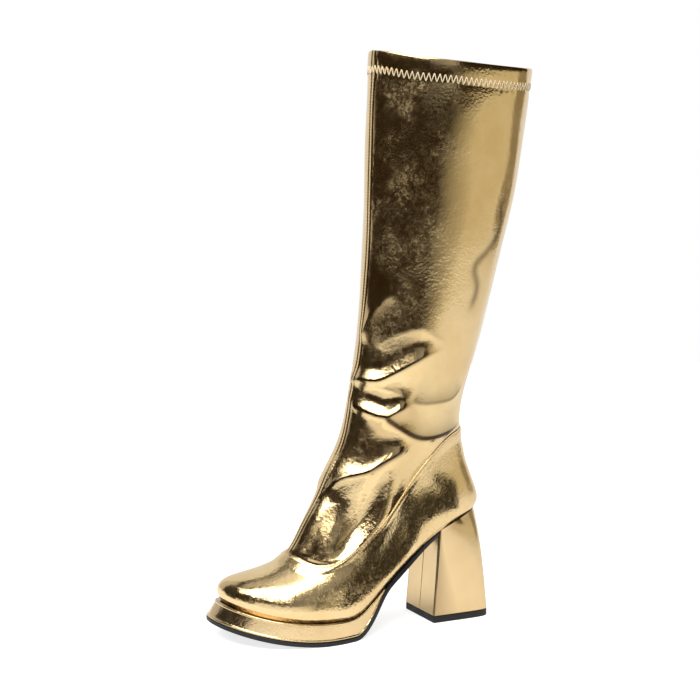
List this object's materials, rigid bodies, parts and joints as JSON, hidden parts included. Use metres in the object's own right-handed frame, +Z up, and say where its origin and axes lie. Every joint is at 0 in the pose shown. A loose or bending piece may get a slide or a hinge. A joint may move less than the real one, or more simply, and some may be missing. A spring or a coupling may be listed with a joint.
{
  "type": "platform boot",
  "caption": "Knee-high pull-on platform boot for the left foot, gold foil leather, with a blunt toe, wrapped platform, thin black outsole and flared block heel.",
  "frame": {"origin": "on the ground, under the middle of the boot's bounding box", "axes": "+Z up, toe towards -Y, outer side of the foot towards +X"},
  "size_m": [0.1002, 0.281, 0.472],
  "materials": {
    "gold_foil": "metallic foil, glossy, lightly creased",
    "gold_wrap": "metallic foil stretched smooth over a hard core",
    "lining": "matt knit",
    "black_rubber": "satin",
    "stitch_thread": "polyester thread"
  },
  "bodies": {
    "root": {"upper": "gold_foil", "shaft": "gold_foil", "insole": "lining", "platform": "gold_wrap", "outsole": "black_rubber", "heel": "gold_wrap", "heel_lift": "black_rubber"}
  },
  "joints": []
}
